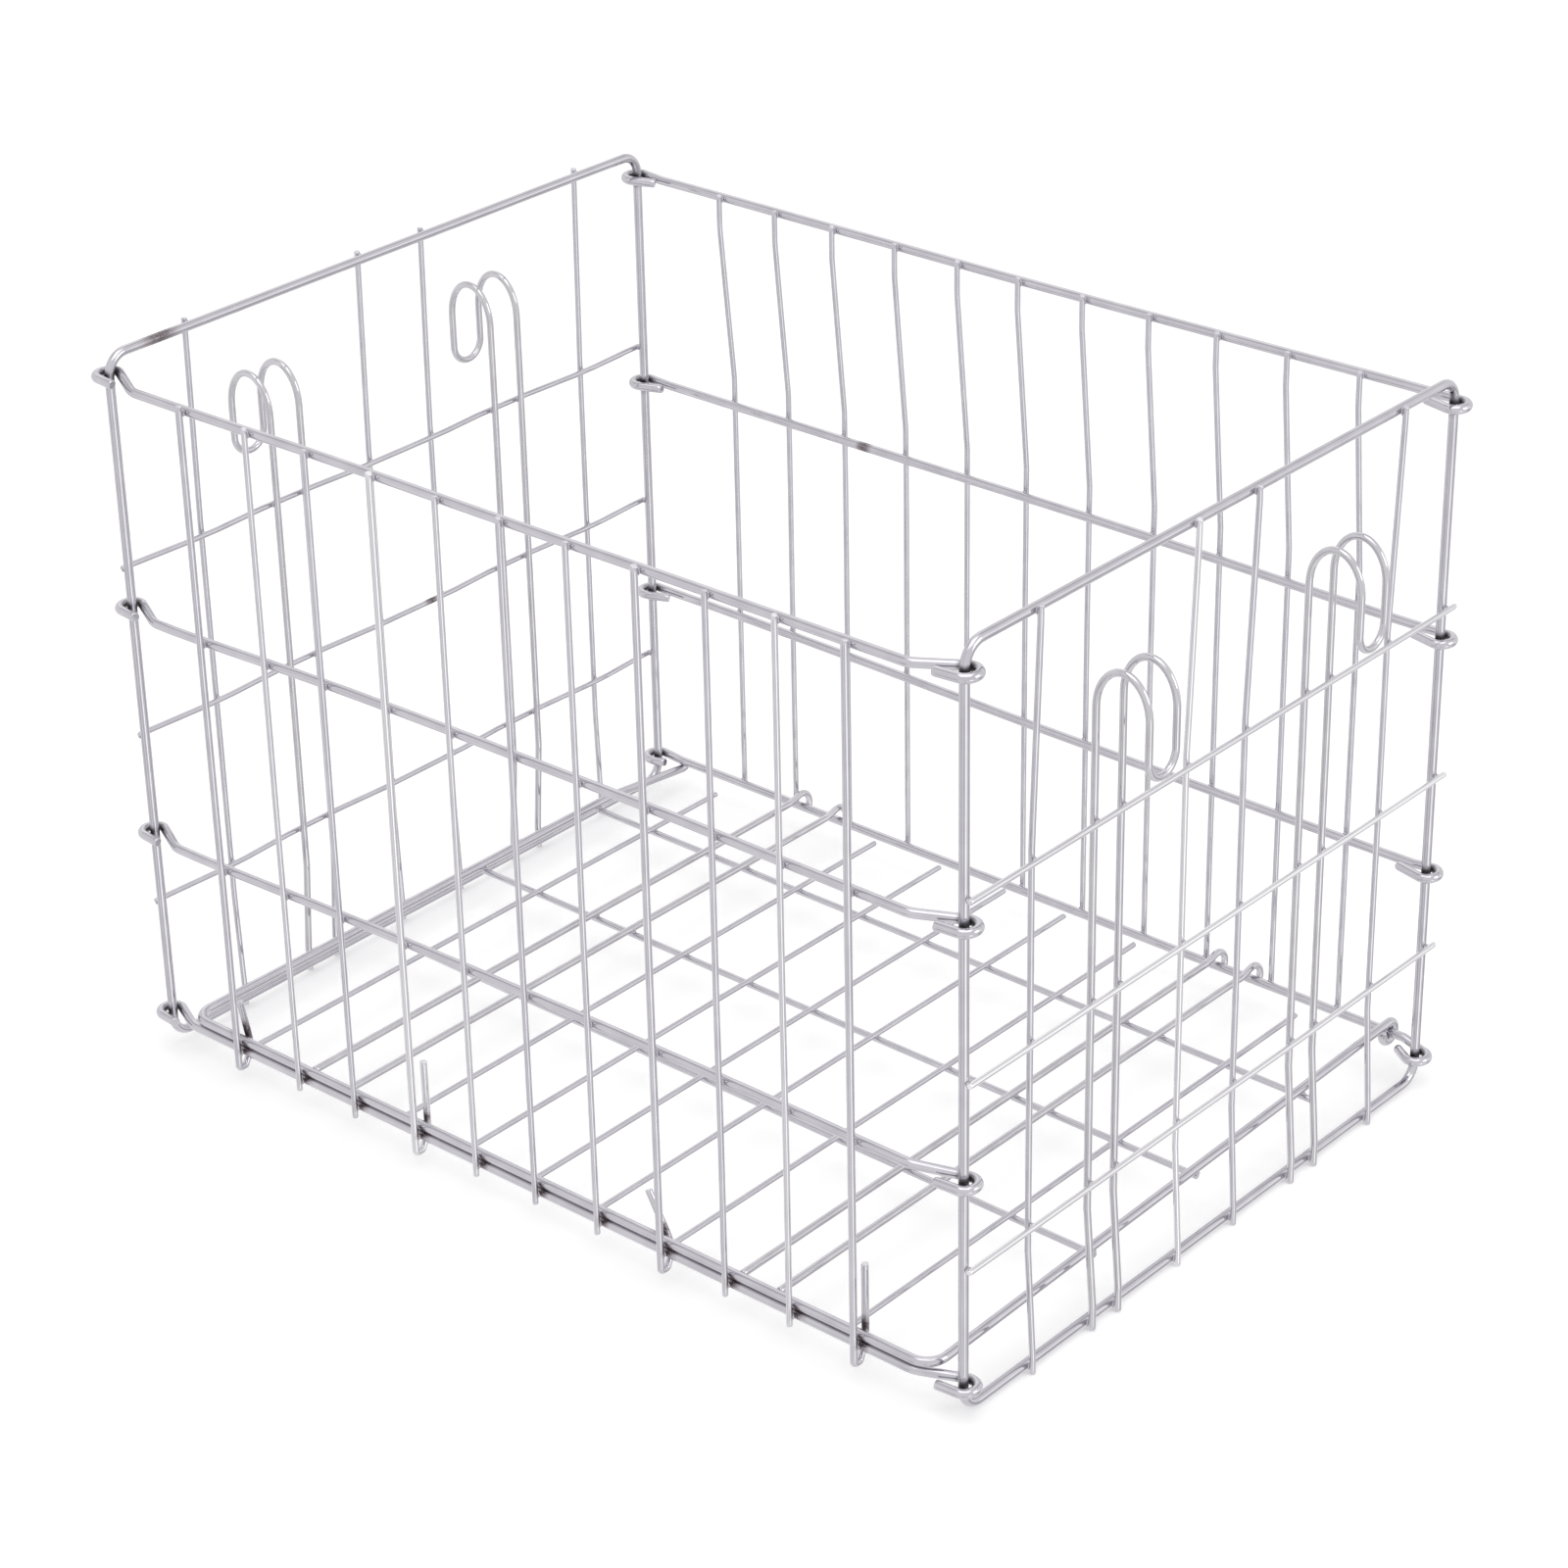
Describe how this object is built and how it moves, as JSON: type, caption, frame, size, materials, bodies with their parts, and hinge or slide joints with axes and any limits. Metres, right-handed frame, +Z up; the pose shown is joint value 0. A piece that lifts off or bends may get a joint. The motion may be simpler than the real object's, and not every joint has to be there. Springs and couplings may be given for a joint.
{
  "type": "wheelchair basket",
  "caption": "Open wire basket with a hinged floor and hook-on ends, held together by wire eyelets round its corner posts.",
  "frame": {"origin": "middle of the basket in plan, at the level of the cut ends it stands on", "axes": "+X along the basket from the left end to the right end, +Y from the front panel to the back panel, +Z up"},
  "size_m": [0.481, 0.3332, 0.322],
  "materials": {
    "frame_wire": "bright plated steel wire",
    "thin_wire": "bright plated steel wire",
    "hook_wire": "bright plated steel wire",
    "latch_wire": "bright plated steel wire"
  },
  "bodies": {
    "back_panel": {"back_rail_1": "frame_wire", "back_rail_2": "frame_wire", "back_rail_3": "frame_wire", "back_rail_4": "frame_wire", "back_upright_1": "thin_wire", "back_upright_2": "thin_wire", "back_upright_3": "thin_wire", "back_upright_4": "thin_wire", "back_upright_5": "thin_wire", "back_upright_6": "thin_wire", "back_upright_7": "thin_wire", "back_upright_8": "thin_wire", "back_upright_9": "thin_wire", "back_upright_10": "thin_wire", "back_upright_11": "thin_wire"},
    "front_panel": {"front_rail_1": "frame_wire", "front_rail_2": "frame_wire", "front_rail_3": "frame_wire", "front_rail_4": "frame_wire", "front_upright_1": "latch_wire", "front_upright_2": "thin_wire", "front_upright_3": "thin_wire", "front_upright_4": "latch_wire", "front_upright_5": "thin_wire", "front_upright_6": "thin_wire", "front_upright_7": "thin_wire", "front_upright_8": "latch_wire", "front_upright_9": "thin_wire", "front_upright_10": "thin_wire", "front_upright_11": "latch_wire"},
    "left_end": {"left_frame": "frame_wire", "left_upright_1": "thin_wire", "left_upright_2": "thin_wire", "left_upright_3": "thin_wire", "left_upright_4": "thin_wire", "left_crosswire_1": "thin_wire", "left_crosswire_2": "thin_wire", "left_crosswire_3": "thin_wire", "left_hook_1": "hook_wire", "left_hook_2": "hook_wire"},
    "right_end": {"right_frame": "frame_wire", "right_upright_1": "thin_wire", "right_upright_2": "thin_wire", "right_upright_3": "thin_wire", "right_upright_4": "thin_wire", "right_crosswire_1": "thin_wire", "right_crosswire_2": "thin_wire", "right_crosswire_3": "thin_wire", "right_hook_1": "hook_wire", "right_hook_2": "hook_wire"},
    "floor": {"floor_frame": "frame_wire", "floor_grid": "thin_wire", "floor_hook_wire_1": "hook_wire", "floor_hook_wire_2": "hook_wire", "floor_hook_wire_3": "hook_wire", "floor_hook_wire_4": "hook_wire"}
  },
  "joints": [
    {"name": "left_end_fold", "type": "hinge", "parent": "back_panel", "child": "left_end", "pos_m": [-0.215, 0.1525, 0.15], "axis": [0, 0, -1], "range_deg": [0, 0.3]},
    {"name": "right_end_fold", "type": "hinge", "parent": "back_panel", "child": "right_end", "pos_m": [0.215, 0.1525, 0.15], "axis": [0, 0, -1], "range_deg": [0, 0.3]},
    {"name": "front_panel_fold", "type": "hinge", "parent": "left_end", "child": "front_panel", "pos_m": [-0.215, -0.1586, 0.15], "axis": [0, 0, -1], "range_deg": [-0.3, 0]},
    {"name": "floor_lift", "type": "hinge", "parent": "back_panel", "child": "floor", "pos_m": [0, 0.1583, 0.0152], "axis": [-1, 0, 0], "range_deg": [0, 77]}
  ],
  "couplings": [
    {"joint": "right_end_fold", "follows": "left_end_fold", "ratio": 1},
    {"joint": "front_panel_fold", "follows": "left_end_fold", "ratio": -1}
  ]
}
